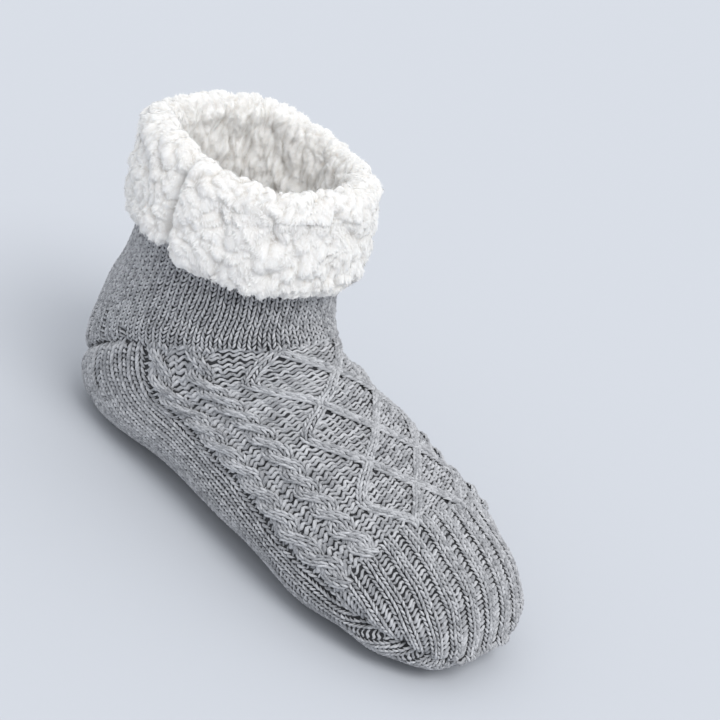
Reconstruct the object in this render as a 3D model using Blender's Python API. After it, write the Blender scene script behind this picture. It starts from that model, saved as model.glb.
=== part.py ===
"""Slipper sock: an upper knitted whole with its top turned down, and a sherpa cuff over the turned top.

Metres, +Z up, toe towards +X, the wearer's left towards +Y, sole on Z = 0.
Every section is a closed ring round a bent tube: level rings in the shaft, a fan of rings round the heel,
upright rings along the foot and closing rings in the toe. A place on the upper is a station along the tube
and a wale (a column of stitches) round it, wale 0 on the top centre line and wale 60 on the sole's.
"""
import bmesh
import bpy
import math
import numpy as np

for old in list(bpy.data.objects):
    bpy.data.objects.remove(old, do_unlink=True)
group = bpy.data.collections.new("slipper_sock")
bpy.context.scene.collection.children.link(group)

# Main sizes
LENGTH = 0.240            # heel to toe
BALL_WIDTH = 0.102        # across the ball
INSTEP_HEIGHT = 0.085     # top of the instep in front of the ankle
TURN_HEIGHT = 0.1405      # where the knit turns over
WALL = 0.0020             # thickness of the knit
TURN_GAP = 0.0012         # air inside the turned knit
HEM_DEPTH = 0.0340        # how far the turned knit reaches down outside
CLEAR = 0.0003            # between knit and fleece
PILE_OUT = 0.0062         # fleece on the outside of the cuff
PILE_TOP = 0.0072         # fleece over the turn
PILE_IN = 0.0050          # fleece inside the shaft
CUFF_DEPTH = 0.0320       # how far the fleece reaches down outside
LINING_DEPTH = 0.0505     # how far it reaches down inside
CURL = 0.0011             # how far the curls stand out or in
CUFF_FOLD = 0.0036        # depth of the cuff's upright fold
FOLD_ANGLE = math.radians(-88.0)   # where that fold is, from the front to the wearer's right
BAND_RAISE = 0.0014       # the lattice's bands
CABLE_RAISE = 0.0019      # the cables
GORE_DEPTH = 0.0009       # creases of heel and toe

# Wales: the instep panel takes 30 wales from the centre to its border, and the sole the other 30
PANEL_WALES, HALF_WALES = 30.0, 60.0
PANEL_SHARE = 0.52        # the panel's share of half the girth
DIAMOND_WALES = 7.0       # half the width of a diamond
CABLES = (19.0, 26.0)     # middle wale of each cable
CABLE_HALF_WALES = 2.4    # half a cable's width, in wales
DIAMOND_STEPS = 6.0       # half diamonds from ankle to toe
CABLE_TURN = 0.0100       # length of one cable crossing

# Sections, as shares: x of LENGTH, z of INSTEP_HEIGHT, half width of half BALL_WIDTH
SECTIONS = [
    # name     front x, z     back x,  z      half w, widest, front and back roundness
    ("turn",    0.404, 1.629,  0.032, 1.629, 0.830, 0.50, 2.10, 2.10),
    ("cuff",    0.427, 1.210,  0.044, 1.210, 0.830, 0.50, 2.10, 2.10),
    ("ankle",   0.436, 1.088,  0.036, 0.948, 0.830, 0.50, 2.10, 2.10),
    ("ankle2",  0.444, 1.046,  0.017, 0.773, 0.820, 0.50, 2.10, 2.10),
    ("ankle3",  0.453, 1.021,  0.005, 0.588, 0.810, 0.50, 2.10, 2.10),
    ("crease",  0.463, 1.000,  0.000, 0.412, 0.800, 0.50, 2.10, 2.10),
    ("heel",    0.474, 0.981,  0.006, 0.237, 0.790, 0.50, 2.10, 2.20),
    ("heel2",   0.487, 0.965,  0.032, 0.072, 0.785, 0.51, 2.10, 2.30),
    ("heel3",   0.501, 0.951,  0.087, -0.010, 0.785, 0.52, 2.10, 2.50),
    ("heel4",   0.516, 0.934,  0.167, -0.014, 0.797, 0.53, 2.10, 2.60),
    ("waist",   0.537, 0.911,  0.266, 0.006, 0.822, 0.54, 2.10, 2.60),
    ("waist2",  0.563, 0.882,  0.364, 0.019, 0.858, 0.55, 2.10, 2.60),
    ("waist3",  0.596, 0.847,  0.459, 0.023, 0.900, 0.56, 2.10, 2.60),
    ("waist4",  0.634, 0.806,  0.542, 0.014, 0.942, 0.57, 2.10, 2.60),
    ("ball",    0.677, 0.761,  0.618, -0.004, 0.981, 0.57, 2.15, 2.60),
    ("ball2",   0.725, 0.715,  0.690, -0.014, 1.000, 0.57, 2.20, 2.60),
    ("ball3",   0.770, 0.676,  0.755, -0.014, 0.992, 0.57, 2.20, 2.60),
    ("toe",     0.816, 0.633,  0.812, -0.014, 0.958, 0.57, 2.20, 2.50),
    ("toe2",    0.865, 0.588,  0.860, -0.014, 0.900, 0.58, 2.20, 2.50),
    ("toe3",    0.914, 0.530,  0.904, -0.006, 0.812, 0.58, 2.20, 2.40),
    ("toe4",    0.957, 0.448,  0.944, 0.014, 0.690, 0.58, 2.20, 2.30),
    ("toe5",    0.988, 0.328,  0.975, 0.050, 0.550, 0.56, 2.10, 2.10),
    ("tip",     1.000, 0.196,  0.992, 0.112, 0.380, 0.50, 2.00, 2.00),
]
# Colour and roughness of each piece
FINISH = {"knit_upper": ((0.25, 0.255, 0.27), 0.9), "fleece_cuff": ((0.86, 0.85, 0.83), 0.95)}
NAMES = [row[0] for row in SECTIONS]
TABLE = np.array([row[1:] for row in SECTIONS], float)
TABLE[:, [0, 2]] *= LENGTH
TABLE[:, [1, 3]] *= INSTEP_HEIGHT
TABLE[:, 4] *= BALL_WIDTH / 2
TABLE[0, [1, 3]] = TURN_HEIGHT
LAST = len(SECTIONS) - 1.0
BAND_END = NAMES.index("crease") + 0.2      # station where the ankle band meets the instep panel
TOE_START = float(NAMES.index("toe"))       # station where the lattice ends
GORE_HEEL = NAMES.index("heel") + 1.0       # station of the heel's crease
GORE_TOE = NAMES.index("ball2") + 0.6       # station where the toe's crease starts


def section(station):
    """The table's row at a station, by a smooth curve through the rows."""
    s = np.clip(np.asarray(station, float), 0.0, LAST)
    i = np.minimum(s.astype(int), int(LAST) - 1)
    t = (s - i)[..., None]
    before, here = TABLE[np.maximum(i - 1, 0)], TABLE[i]
    after, later = TABLE[i + 1], TABLE[np.minimum(i + 2, int(LAST))]
    return 0.5 * (2 * here + (after - before) * t + (2 * before - 5 * here + 4 * after - later) * t ** 2
                  + (3 * here - before - 3 * after + later) * t ** 3)


def ring(station, angle):
    """A point of the outer form, angle 0 at the front or top and pi at the back or sole."""
    station, angle = np.broadcast_arrays(np.asarray(station, float), np.asarray(angle, float))
    row = section(station)
    fx, fz, bx, bz, half, widest, round_f, round_b = (row[..., k] for k in range(8))
    mx, mz = fx + (bx - fx) * widest, fz + (bz - fz) * widest
    c, s = np.cos(angle), np.sin(angle)
    power = 2.0 / np.where(c > 0, round_f, round_b)
    reach = np.abs(c) ** power
    x = mx + np.where(c > 0, fx - mx, bx - mx) * reach
    z = mz + np.where(c > 0, fz - mz, bz - mz) * reach
    return np.stack([x - LENGTH / 2, half * np.sign(s) * np.abs(s) ** power, z], axis=-1)


def normal(station, angle):
    """The outward normal of the form."""
    da, ds = 0.01, 0.04
    low, high = np.maximum(station - ds, 0.0), np.minimum(station + ds, LAST - 0.3)
    low = np.minimum(low, high - ds)
    along = ring(high, angle) - ring(low, angle)
    here = np.clip(station, 0, LAST - 0.3)
    around = ring(here, angle + da) - ring(here, angle - da)
    n = np.cross(along, around)
    return n / np.maximum(np.linalg.norm(n, axis=-1, keepdims=True), 1e-12)


def angles_of(station, wales):
    """The ring angles of these wales at a station, spaced by arc length."""
    fine = np.linspace(0.0, math.pi, 361)
    arc = np.concatenate([[0.0], np.cumsum(np.linalg.norm(np.diff(ring(station, fine), axis=0), axis=1))])
    w = np.asarray(wales, float)
    folded = np.where(w > HALF_WALES, 2 * HALF_WALES - w, w)
    share = np.where(folded < PANEL_WALES, PANEL_SHARE * folded / PANEL_WALES,
                     PANEL_SHARE + (1 - PANEL_SHARE) * (folded - PANEL_WALES) / (HALF_WALES - PANEL_WALES))
    angle = np.interp(share * arc[-1], arc, fine)
    return np.where(w > HALF_WALES, angle, -angle)


FINE = np.linspace(BAND_END, TOE_START, 240)
FRONT = np.concatenate([[0.0], np.cumsum(np.linalg.norm(np.diff(ring(FINE, 0.0), axis=0), axis=1))])


def bump(x):
    return np.clip(1.0 - np.asarray(x, float) ** 2, 0.0, 1.0)


def relief(station, wales):
    """How far the knit's face stands out, by station and wale."""
    w = np.where(wales > HALF_WALES, 2 * HALF_WALES - wales, wales)
    along = np.interp(station, FINE, FRONT)
    step = along / FRONT[-1] * DIAMOND_STEPS
    inside = 1.0 if BAND_END <= station <= TOE_START else 0.0
    zigzag = DIAMOND_WALES * (1.0 - abs(1.0 - step % 2.0))
    bands = np.maximum(bump((w - DIAMOND_WALES - zigzag) / 2.2), bump((w - DIAMOND_WALES + zigzag) / 2.2))
    out = BAND_RAISE * inside * bands
    for middle in CABLES:
        turn = 0.8 + 0.2 * np.cos(2 * math.pi * (along / CABLE_TURN - (w - middle) / (2 * CABLE_HALF_WALES)))
        out = np.maximum(out, CABLE_RAISE * inside * bump((w - middle) / CABLE_HALF_WALES) * turn)
    on_sole = np.clip((w - PANEL_WALES) / 6.0, 0.0, 1.0)
    out = out - GORE_DEPTH * on_sole * bump((station - GORE_HEEL) / 0.6)
    if station > GORE_TOE:
        out = out - GORE_DEPTH * min(1.0, station - GORE_TOE) * bump((w - PANEL_WALES) / 2.5)
    return out


def station_at(height):
    """The shaft's station at a height."""
    s = np.linspace(0.0, 2.0, 81)
    return float(np.interp(-height, -ring(s, math.pi / 2)[:, 2], s))


def solid(name, rings, cap):
    """One closed body through rings of the same count, from end to end or closed on itself."""
    count = len(rings[0])
    points = [tuple(p) for r in rings for p in r]
    faces = []
    spans = [(k, k + 1) for k in range(len(rings) - 1)] + ([] if cap else [(len(rings) - 1, 0)])
    for a, b in spans:
        for i in range(count):
            j = (i + 1) % count
            p, q, r, s = a * count + i, a * count + j, b * count + j, b * count + i
            pq = np.linalg.norm(np.subtract(points[p], points[r]))
            qs = np.linalg.norm(np.subtract(points[q], points[s]))
            faces += [(p, q, r), (p, r, s)] if pq <= qs else [(p, q, s), (q, r, s)]
    if cap:
        for base, flip in ((0, False), ((len(rings) - 1) * count, True)):
            for i in range(count // 2):
                a, b = base + i, base + i + 1
                c, d = base + (count - i - 1) % count, base + (count - i) % count
                quads = [(a, b, c), (a, c, d)] if i else [(a, b, c)]
                if b == c:
                    quads = [(a, b, d)]
                for f in quads:
                    if len(set(f)) == 3:
                        faces.append(f[::-1] if not flip else f)
    mesh = bpy.data.meshes.new(name)
    mesh.from_pydata(points, [], faces)
    mesh.update()
    mesh.validate()
    mesh.shade_smooth()
    obj = bpy.data.objects.new(name, mesh)
    group.objects.link(obj)
    mesh.materials.append(material(name, *FINISH[name]))
    return obj


def material(name, colour, roughness):
    """A plain finish for a piece."""
    made = bpy.data.materials.new(name)
    made.use_nodes = True
    shader = made.node_tree.nodes["Principled BSDF"]
    shader.inputs["Base Color"].default_value = (*colour, 1.0)
    shader.inputs["Roughness"].default_value = roughness
    shader.inputs["Metallic"].default_value = 0.0
    return made


def shaft_ring(station, angle, offset, rise=0.0):
    """A ring of the shaft moved out level by an offset, and up by a rise."""
    p, n = ring(station, angle), normal(station, angle)
    n = n * np.array([1.0, 1.0, 0.0])
    n /= np.linalg.norm(n, axis=-1, keepdims=True)
    return p + n * np.asarray(offset)[..., None] + np.array([0.0, 0.0, 1.0]) * np.asarray(rise)[..., None]


def turn(angle, radius, steps):
    """Rings over the turned top, from the outside to the inside."""
    rings = []
    for k in range(1, steps):
        t = math.pi * k / steps
        rings.append(shaft_ring(0.0, angle, np.full(len(angle), TURN_GAP / 2 + radius * math.cos(t)),
                                np.full(len(angle), radius * math.sin(t))))
    return rings


# Stations that knit and fleece share where they lie against each other
low = station_at(TURN_HEIGHT - CUFF_DEPTH)
deep = station_at(TURN_HEIGHT - LINING_DEPTH)
outside = (0.0, low / 2, low)
inside_shaft = (0.0, deep / 3, deep * 2 / 3, deep)

# The knit upper
half = [DIAMOND_WALES * k / 4 for k in range(9)]
half += [15.5, 17, 19, 21, 22.5, 24, 26, 28, 30, 33, 37, 41, 45, 49, 53, 56.5, 60]
wales = np.array(half + [2 * HALF_WALES - w for w in half[-2:0:-1]])
hem = station_at(TURN_HEIGHT - HEM_DEPTH)
face = []
shaft_angle = angles_of(0.5, wales)
for s in np.linspace(hem, 0.0, 4):
    face.append(shaft_ring(s, shaft_angle, np.full(len(wales), TURN_GAP)))
face += turn(shaft_angle, TURN_GAP / 2, 3)
face.append(shaft_ring(0.0, shaft_angle, np.zeros(len(wales))))
rows = [0.6, 1.2, 2.0, 3.0, 4.0, BAND_END - 0.05]
rows += list(np.linspace(BAND_END + 0.1, NAMES.index("waist"), 12))
lattice_start = float(np.interp(NAMES.index("waist"), FINE, FRONT))
rows += [float(np.interp(v, FRONT, FINE)) for v in np.linspace(lattice_start, FRONT[-1], 19)[1:]]
rows += [TOE_START + v for v in (0.6, 1.2, 1.8, 2.4, 3.0, 3.5, 4.0, 4.45, 4.8)] + [LAST]
for s in rows:
    blend = min(1.0, s / 2.4)
    angle = shaft_angle + (angles_of(s, wales) - shaft_angle) * blend
    p = ring(s, angle) + normal(s, angle) * relief(s, wales)[:, None]
    p[:, 2] = np.maximum(p[:, 2], 0.0)
    face.append(p)
back = [shaft_ring(s, shaft_angle, np.full(len(wales), TURN_GAP + WALL)) for s in (hem,) + outside[::-1]]
back += turn(shaft_angle, TURN_GAP / 2 + WALL, 4)
back += [shaft_ring(s, shaft_angle, np.full(len(wales), -WALL)) for s in inside_shaft]
for s in (2.4, 3.5, 5.0, 6.0, 7.0, 8.0, 9.0, 10.5, 12.0, 14.0, 16.0, 17.5, 19.0, 20.2, 21.0):
    angle = angles_of(s, wales)
    p = ring(s, angle) - normal(s, angle) * WALL
    p[:, 2] = np.maximum(p[:, 2], WALL)
    back.append(p)
solid("knit_upper", face[::-1] + back, cap=True)

# The sherpa cuff: over the turned top, down outside to the hem and down inside the shaft
COUNT = 72
around = np.linspace(0.0, 2 * math.pi, COUNT, endpoint=False)
seeded = np.random.default_rng(11)
stack = TURN_GAP + WALL + CLEAR


def curls(offset):
    """A row's offsets with its curls, in and out by turns."""
    odd = np.where((np.arange(COUNT) + len(pile)) % 2, 0.45, -0.45)
    return offset + CURL * (odd + seeded.uniform(-0.55, 0.55, COUNT))


apart = (around - FOLD_ANGLE + math.pi) % (2 * math.pi) - math.pi
crease = CUFF_FOLD * (np.exp(-(apart / 0.10) ** 2) - 0.45 * np.exp(-((apart - 0.22) / 0.12) ** 2))
pile = []
for k, share in enumerate((0.45, 0.80, 0.97, 1.05, 1.08, 1.06, 1.03, 1.0)):
    s = low * (1 - k / 7.0)
    fade = 1.0 - 0.75 * (k / 7.0) ** 2
    out = curls(stack + PILE_OUT * share) - crease * fade
    pile.append(shaft_ring(s, around, out, seeded.uniform(-1, 1, COUNT) * CURL * 0.6))
for k in range(1, 6):
    t = math.pi * k / 6
    thick = PILE_TOP + (PILE_IN - PILE_OUT) * (k / 6.0 - 0.5) * 0.6
    r = curls(stack - TURN_GAP / 2 + thick)
    out = TURN_GAP / 2 + r * math.cos(t) - crease * 0.2 * max(0.0, math.cos(t))
    pile.append(shaft_ring(0.0, around, out, r * math.sin(t)))
for k, share in enumerate((1.0, 1.05, 1.0, 0.95, 0.6)):
    pile.append(shaft_ring(deep * k / 4.0, around, -curls(WALL + CLEAR + PILE_IN * share)))
skin = [shaft_ring(s, around, np.full(COUNT, -(WALL + CLEAR))) for s in inside_shaft[::-1]]
skin += turn(around, TURN_GAP / 2 + WALL + CLEAR, 4)[::-1]
skin += [shaft_ring(s, around, np.full(COUNT, stack)) for s in outside]
solid("fleece_cuff", pile + skin, cap=False)

# The origin is under the middle of the whole
ends = np.array([v.co for obj in group.objects for v in obj.data.vertices])
middle = (ends.min(axis=0) + ends.max(axis=0)) / 2
for obj in group.objects:
    work = bmesh.new()
    work.from_mesh(obj.data)
    bmesh.ops.translate(work, verts=work.verts[:], vec=(-middle[0], -middle[1], 0.0))
    bmesh.ops.recalc_face_normals(work, faces=work.faces[:])
    work.to_mesh(obj.data)
    work.free()
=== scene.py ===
import math
import bpy
import numpy as np
from mathutils import Matrix, Vector


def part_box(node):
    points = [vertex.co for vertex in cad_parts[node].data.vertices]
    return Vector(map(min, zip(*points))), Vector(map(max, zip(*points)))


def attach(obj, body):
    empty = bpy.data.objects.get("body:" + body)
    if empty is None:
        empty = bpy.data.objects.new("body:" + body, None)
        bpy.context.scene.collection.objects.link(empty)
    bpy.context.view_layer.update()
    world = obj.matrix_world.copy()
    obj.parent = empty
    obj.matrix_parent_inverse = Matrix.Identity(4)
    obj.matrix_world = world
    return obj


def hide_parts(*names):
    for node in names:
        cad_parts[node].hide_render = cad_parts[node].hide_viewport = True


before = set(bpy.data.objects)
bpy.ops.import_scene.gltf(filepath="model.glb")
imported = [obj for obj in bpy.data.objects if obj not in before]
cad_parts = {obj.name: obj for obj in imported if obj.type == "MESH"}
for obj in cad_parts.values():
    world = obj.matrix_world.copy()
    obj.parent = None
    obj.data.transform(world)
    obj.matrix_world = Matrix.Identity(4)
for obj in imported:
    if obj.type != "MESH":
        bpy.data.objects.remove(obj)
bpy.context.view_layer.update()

# Sizes, as in the part
LENGTH = 0.240                        # heel to toe
BALL_WIDTH = 0.102                    # across the ball
INSTEP_HEIGHT = 0.085                 # top of the instep in front of the ankle
TURN_HEIGHT = 0.1405                  # where the knit turns over
WALL = 0.0020                         # thickness of the knit
TURN_GAP = 0.0012                     # air inside the turned knit
HEM_DEPTH = 0.0340                    # how far the turned knit reaches down outside
CLEAR = 0.0003                        # between knit and fleece
PILE_OUT = 0.0062                     # fleece on the outside of the cuff
PILE_TOP = 0.0072                     # fleece over the turn
PILE_IN = 0.0050                      # fleece inside the shaft
CUFF_DEPTH = 0.0320                   # how far the fleece reaches down outside
LINING_DEPTH = 0.0505                 # how far it reaches down inside
FOLD_ANGLE = math.radians(-88.0)      # where the cuff's upright fold is
PANEL, HALF = 30.0, 60.0              # wales in half the instep panel, and in half the sock
SHARE = 0.52                          # the panel's share of half the girth
DIAMOND, STEPS = 7.0, 6.0             # half a diamond's width in wales, and half diamonds to the toe
CABLES = (19.0, 26.0)                 # middle wale of each cable
CABLE_TURNS = (8.8, 9.6)              # courses in which each cable's plies change places twice
CLOSING = 0.0016                      # how far the closed toe stands past the last section
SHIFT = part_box("knit_upper")[1][0] - LENGTH / 2    # from the part's own place to the frame's

# Sizes of the knitting
COURSE = 0.00212                      # height of one stitch
YARN_RADIUS = 0.00063
HILL = 0.00050                        # how high a stitch's middle stands
BAND_COLUMNS = 164                    # columns of legs round the ankle
BAND_COURSES = 60                     # courses down the ankle, some to spare
FOOT_COURSES = (-112, 34)             # courses of heel, sides and sole, counted from the toe's ribs
PURL_COLUMNS = 34                     # columns of purl across the instep panel
TOE_COURSES = 40                      # courses of the toe's ribs, some to spare
RIB = 5.0                             # wales from one rib of the toe to the next
HEM_COLUMNS = 132                     # columns of stitches round the hem
PER_WALE = 8                          # steps of the sheet's grid to a wale
GROUND_ROWS, GROUND_STEPS = 210, 216  # the mesh under the stitches, along and round
HEM_STEPS = 480                       # the hem's mesh, round

# Sizes of the pile
CUFF_ROWS, CUFF_STEPS = 150, 640      # the cuff's mesh, across and round
LINING_STEPS = 340                    # the lining's mesh, round
CUFF_GIRTH, LINING_GIRTH = 0.345, 0.30
FIBRES = 30000                        # loose fibres over the cuff

# Sections, as shares: x of LENGTH, z of INSTEP_HEIGHT, half width of half BALL_WIDTH
ROWS = [
    # name     front x, z     back x,  z      half w, widest, front and back roundness
    ("turn",    0.404, 1.629,  0.032, 1.629, 0.830, 0.50, 2.10, 2.10),
    ("cuff",    0.427, 1.210,  0.044, 1.210, 0.830, 0.50, 2.10, 2.10),
    ("ankle",   0.436, 1.088,  0.036, 0.948, 0.830, 0.50, 2.10, 2.10),
    ("ankle2",  0.444, 1.046,  0.017, 0.773, 0.820, 0.50, 2.10, 2.10),
    ("ankle3",  0.453, 1.021,  0.005, 0.588, 0.810, 0.50, 2.10, 2.10),
    ("crease",  0.463, 1.000,  0.000, 0.412, 0.800, 0.50, 2.10, 2.10),
    ("heel",    0.474, 0.981,  0.006, 0.237, 0.790, 0.50, 2.10, 2.20),
    ("heel2",   0.487, 0.965,  0.032, 0.072, 0.785, 0.51, 2.10, 2.30),
    ("heel3",   0.501, 0.951,  0.087, -0.010, 0.785, 0.52, 2.10, 2.50),
    ("heel4",   0.516, 0.934,  0.167, -0.014, 0.797, 0.53, 2.10, 2.60),
    ("waist",   0.537, 0.911,  0.266, 0.006, 0.822, 0.54, 2.10, 2.60),
    ("waist2",  0.563, 0.882,  0.364, 0.019, 0.858, 0.55, 2.10, 2.60),
    ("waist3",  0.596, 0.847,  0.459, 0.023, 0.900, 0.56, 2.10, 2.60),
    ("waist4",  0.634, 0.806,  0.542, 0.014, 0.942, 0.57, 2.10, 2.60),
    ("ball",    0.677, 0.761,  0.618, -0.004, 0.981, 0.57, 2.15, 2.60),
    ("ball2",   0.725, 0.715,  0.690, -0.014, 1.000, 0.57, 2.20, 2.60),
    ("ball3",   0.770, 0.676,  0.755, -0.014, 0.992, 0.57, 2.20, 2.60),
    ("toe",     0.816, 0.633,  0.812, -0.014, 0.958, 0.57, 2.20, 2.50),
    ("toe2",    0.865, 0.588,  0.860, -0.014, 0.900, 0.58, 2.20, 2.50),
    ("toe3",    0.914, 0.530,  0.904, -0.006, 0.812, 0.58, 2.20, 2.40),
    ("toe4",    0.957, 0.448,  0.944, 0.014, 0.690, 0.58, 2.20, 2.30),
    ("toe5",    0.988, 0.328,  0.975, 0.050, 0.550, 0.56, 2.10, 2.10),
    ("tip",     1.000, 0.196,  0.992, 0.112, 0.380, 0.50, 2.00, 2.00),
]
NAMES = [row[0] for row in ROWS]
TABLE = np.array([row[1:] for row in ROWS], float)
TABLE[:, [0, 2]] *= LENGTH
TABLE[:, [1, 3]] *= INSTEP_HEIGHT
TABLE[:, 4] *= BALL_WIDTH / 2
TABLE[0, [1, 3]] = TURN_HEIGHT

# Stations, which count the sections from 0 at the turn
LAST = len(ROWS) - 1.0
CLOSED = LAST + 1.0                   # past the tip the sheet closes to the toe's slit
BAND_END = NAMES.index("crease") + 0.2    # the ankle band's edge over the instep
TOE = float(NAMES.index("toe"))       # where the panel ends and the toe's ribs start
GORE_TOE = NAMES.index("ball2") + 0.6     # where the toe's side creases start


def smooth(x, a=0.0, b=1.0):
    """From 0 at a to 1 at b, level at both ends."""
    t = np.clip((np.asarray(x, float) - a) / (b - a), 0.0, 1.0)
    return t * t * (3 - 2 * t)


def hump(x):
    """A round hill, 1 at 0 and 0 from 1 on."""
    return np.clip(1.0 - np.asarray(x, float) ** 2, 0.0, 1.0)


def bell(x):
    """A soft hill, 1 at 0, that fades both ways."""
    return np.exp(-np.asarray(x, float) ** 2)


def unit(v):
    """Vectors made one long."""
    return v / np.maximum(np.linalg.norm(v, axis=-1, keepdims=True), 1e-12)


def section(station):
    """The table's row at a station, by a smooth curve through the rows."""
    s = np.clip(np.asarray(station, float), 0.0, LAST)
    i = np.minimum(s.astype(int), int(LAST) - 1)
    t = (s - i)[..., None]
    a, b = TABLE[np.maximum(i - 1, 0)], TABLE[i]
    c, d = TABLE[i + 1], TABLE[np.minimum(i + 2, int(LAST))]
    square, cube = 2 * a - 5 * b + 4 * c - d, 3 * b - a - 3 * c + d
    return 0.5 * (2 * b + (c - a) * t + square * t ** 2 + cube * t ** 3)


def ring(station, angle):
    """The outer form. Angle 0 is the front or top, and pi the back or sole."""
    station, angle = np.broadcast_arrays(np.asarray(station, float), np.asarray(angle, float))
    row = section(station)
    fx, fz, bx, bz, half, widest, round_f, round_b = (row[..., k] for k in range(8))
    mx, mz = fx + (bx - fx) * widest, fz + (bz - fz) * widest
    c, s = np.cos(angle), np.sin(angle)
    power = 2.0 / np.where(c > 0, round_f, round_b)
    reach = np.abs(c) ** power
    x = mx + np.where(c > 0, fx - mx, bx - mx) * reach
    z = mz + np.where(c > 0, fz - mz, bz - mz) * reach
    shut = np.clip(station - LAST, 0.0, 1.0)
    x = x + CLOSING * np.sin(shut * math.pi / 2)
    z = z + (mz - z) * shut
    return np.stack([x - LENGTH / 2 + SHIFT, half * np.sign(s) * np.abs(s) ** power, z], axis=-1)


def folded(wale):
    """Wales from the top centre line, 0 to 60 on either side."""
    w = np.mod(wale, 2 * HALF)
    return np.minimum(w, 2 * HALF - w)


def run_along(points, axis):
    """Distances along one axis of a grid of points."""
    steps = np.linalg.norm(np.diff(points, axis=axis), axis=2)
    start = np.zeros_like(np.take(steps, [0], axis=axis))
    return np.concatenate([start, np.cumsum(steps, axis=axis)], axis=axis)


# The sheet: a fine grid of the form by station and wale. Wale 0 is the top centre line, wale 30 the panel's
# right border, wale 60 the sole's centre line and wale 90 the left border
NS, NW = 720, int(2 * HALF) * PER_WALE
STATIONS = np.linspace(0.0, CLOSED, NS)
WALES = np.arange(NW) / PER_WALE
FINE = np.linspace(0.0, math.pi, 541)
ROUND_ARC = run_along(ring(STATIONS[:, None], FINE[None, :]), 1)
GIRTH = ROUND_ARC[:, -1]                           # half the girth at each station
PITCH_TOP = SHARE * np.interp(TOE, STATIONS, GIRTH) / PANEL
PITCH_SOLE = (1 - SHARE) * np.interp(TOE, STATIONS, GIRTH) / (HALF - PANEL)


def lay_wales():
    """Distance of each wale from the panel's border, below 0 on the panel, and its angle round the form.

    In the toe the wales keep their width and run out at the crease, instead of drawing together.
    """
    wale, girth = folded(WALES)[None, :], GIRTH[:, None]
    side_share = SHARE + (1 - SHARE) * (wale - PANEL) / (HALF - PANEL)
    even = np.where(wale < PANEL, SHARE * wale / PANEL, side_share) * girth
    side_arc = np.array([np.interp(math.pi / 2, FINE, line) for line in ROUND_ARC])
    border = SHARE * GIRTH + (side_arc - SHARE * GIRTH) * smooth(STATIONS, TOE - 1.0, LAST - 1.0)
    border = border[:, None]
    kept = np.where(wale < PANEL, np.minimum(wale * PITCH_TOP, border),
                    np.maximum(girth - (HALF - wale) * PITCH_SOLE, border))
    arc = even + (kept - even) * smooth(STATIONS, TOE - 1.5, TOE + 1.0)[:, None]
    angle = np.array([np.interp(arc[k], ROUND_ARC[k], FINE) for k in range(NS)])
    return arc - border, np.where(WALES[None, :] > HALF, angle, -angle)


BESIDE, ANGLE = lay_wales()


def sheet_normals():
    """Outward normals. Past the last steady ring they lean forward, so that the tip is round."""
    low = np.clip(STATIONS - 0.03, 0, LAST - 0.3)[:, None]
    high = np.clip(STATIONS + 0.03, 0.03, LAST - 0.2)[:, None]
    mid = np.clip(STATIONS, 0, LAST - 0.25)[:, None]
    along = ring(high, ANGLE) - ring(low, ANGLE)
    n = unit(np.cross(along, ring(mid, ANGLE + 0.008) - ring(mid, ANGLE - 0.008)))
    lean = 0.85 * smooth(STATIONS, LAST - 1.2, LAST + 0.8)[:, None, None]
    return unit(n * (1 - lean) + np.array([1.0, 0, 0]) * lean)


NORMALS = sheet_normals()


def gore_station(wale):
    """Where the heel's crease runs: level with the band's edge at the sides, lower at the back."""
    return BAND_END + 1.15 * smooth(folded(wale), PANEL - 1.0, HALF)


def soft_shape():
    """Soft troughs and ridges of the cloth, placed one by one."""
    w, s = folded(WALES)[None, :], STATIONS[:, None]
    signed = np.where(WALES > HALF, WALES - 2 * HALF, WALES)[None, :]
    below = s - gore_station(WALES)[None, :]
    heel = smooth(w, PANEL - 2, PANEL + 8)
    out = -0.0018 * heel * bell(below / 0.20) + 0.0009 * heel * hump((below - 0.95) / 0.8)
    out = out + 0.0006 * heel * hump((below + 0.95) / 0.7)
    toe = smooth(s, GORE_TOE - 0.4, GORE_TOE + 1.6) * (1 - 0.5 * smooth(s, LAST - 1, LAST))
    beside = BESIDE / PITCH_TOP
    out = out - 0.0018 * toe * bell(beside / 0.85) + 0.0008 * toe * bell((np.abs(beside) - 3.4) / 1.9)
    # the ankle band rolls out a little over the instep, and a crease runs up from it to the right
    out = out + 0.0011 * bell((s - BAND_END + 1.0) / 0.9) * (1 - smooth(w, 26, 40))
    out = out - 0.0011 * bell((s - BAND_END - 0.35) / 0.5) * (1 - smooth(w, 24, 34))
    out = out - 0.0009 * bell((s - 3.3 - 0.03 * (signed - 16)) / 0.45) * bell((signed - 20) / 9.0)
    out = out + 0.0008 * bell((s - 2.6 - 0.02 * (signed + 10)) / 0.55) * bell((signed + 12) / 12.0)
    # slack over the foot
    wave = np.sin(s * 1.9 + 0.09 * signed) * np.sin(0.16 * signed + 1.1)
    return out + 0.0008 * wave * smooth(s, 7.0, 9.0) * (1 - smooth(s, 18, 20))


SHEET = ring(STATIONS[:, None], ANGLE) + NORMALS * soft_shape()[..., None]
SHEET[..., 2] = np.maximum(SHEET[..., 2], 0.00085)     # room for the stitches under the sole
ARC = run_along(SHEET, 0)                          # distance down each wale from station 0


def on_grid(field, station, wale):
    """Bilinear reading of a grid at stations and wales."""
    f = np.clip(np.asarray(station, float) / CLOSED * (NS - 1), 0, NS - 1.0001)
    g = np.mod(np.asarray(wale, float) * PER_WALE, NW)
    i, j = f.astype(int), g.astype(int) % NW
    u, v = f - i, g - np.floor(g)
    k = (j + 1) % NW
    if field.ndim == 3:
        u, v = u[..., None], v[..., None]
    first = field[i, j] * (1 - v) + field[i, k] * v
    after = field[i + 1, j] * (1 - v) + field[i + 1, k] * v
    return first * (1 - u) + after * u


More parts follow.
